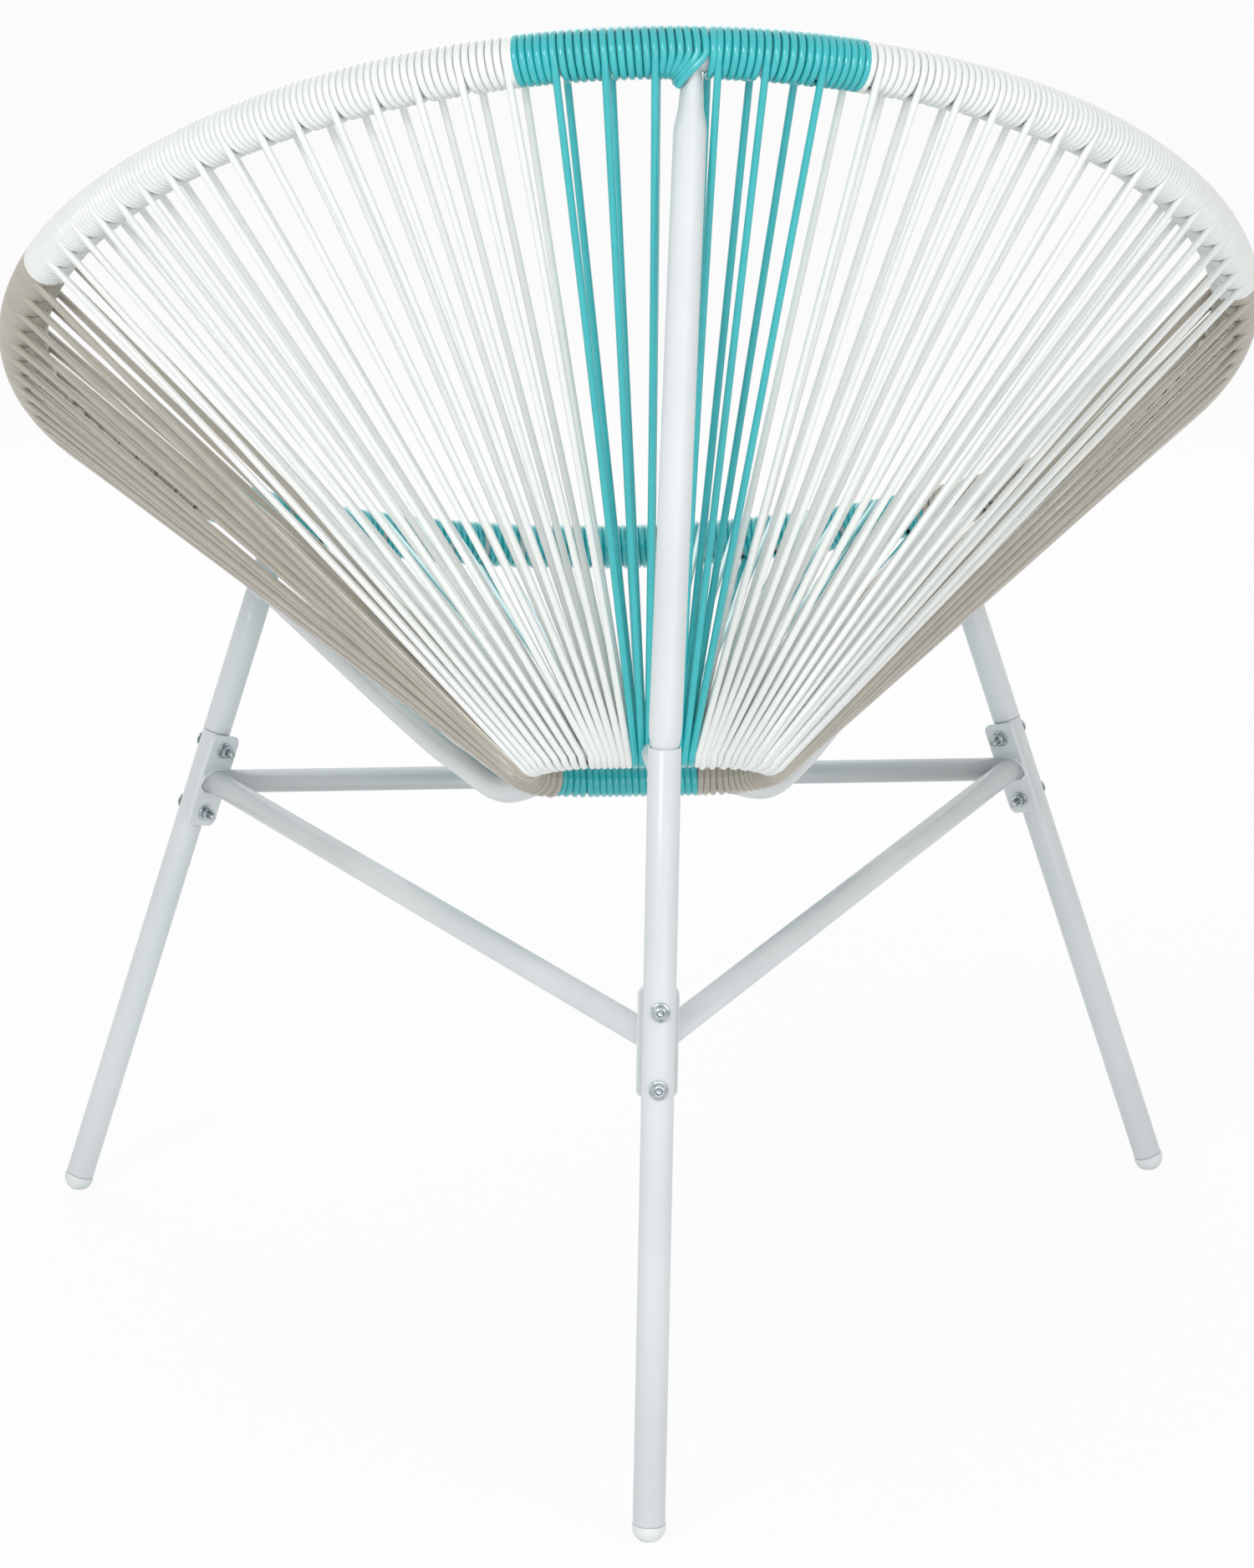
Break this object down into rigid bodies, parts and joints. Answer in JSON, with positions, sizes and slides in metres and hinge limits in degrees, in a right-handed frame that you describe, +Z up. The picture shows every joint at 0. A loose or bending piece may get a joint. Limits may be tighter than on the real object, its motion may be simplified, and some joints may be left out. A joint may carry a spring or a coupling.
{
  "type": "patio lounge chair",
  "caption": "Laced lounge chair with a tilted egg-shaped rim, a small seat ring, radiating plastic cord and three braced tube legs.",
  "frame": {"origin": "on the floor, under the middle of the chair's outer box", "axes": "+Z up, -Y the way the sitter faces, +X to the sitter's left"},
  "size_m": [0.7917, 0.8643, 0.8773],
  "materials": {
    "frame_coat": "satin",
    "zinc": "satin",
    "foot_plastic": "matte",
    "cord_teal": "gloss",
    "cord_white": "gloss",
    "cord_taupe": "gloss"
  },
  "bodies": {
    "root": {"outer_rim": "frame_coat", "seat_ring": "frame_coat", "rear_leg": "frame_coat", "rear_upper_tube": "frame_coat", "rear_ring_stub": "frame_coat", "left_front_leg": "frame_coat", "right_front_leg": "frame_coat", "left_front_upper_tube": "frame_coat", "right_front_upper_tube": "frame_coat", "left_seat_support": "frame_coat", "right_seat_support": "frame_coat", "front_stretcher": "frame_coat", "left_stretcher": "frame_coat", "right_stretcher": "frame_coat", "left_front_bracket_plate": "frame_coat", "right_front_bracket_plate": "frame_coat", "rear_bracket_plate": "frame_coat", "left_front_foot_plug": "foot_plastic", "left_front_lower_bolt": "zinc", "left_front_lower_washer": "zinc", "left_front_lower_nut": "zinc", "left_front_upper_bolt": "zinc", "left_front_upper_washer": "zinc", "left_front_upper_nut": "zinc", "right_front_foot_plug": "foot_plastic", "right_front_lower_bolt": "zinc", "right_front_lower_washer": "zinc", "right_front_lower_nut": "zinc", "right_front_upper_bolt": "zinc", "right_front_upper_washer": "zinc", "right_front_upper_nut": "zinc", "rear_foot_plug": "foot_plastic", "rear_lower_bolt": "zinc", "rear_lower_washer": "zinc", "rear_lower_nut": "zinc", "rear_upper_bolt": "zinc", "rear_upper_washer": "zinc", "rear_upper_nut": "zinc", "cord_back_teal": "cord_teal", "cord_left_white": "cord_white", "cord_left_taupe": "cord_taupe", "cord_front_teal": "cord_teal", "cord_right_taupe": "cord_taupe", "cord_right_white": "cord_white"}
  },
  "joints": []
}
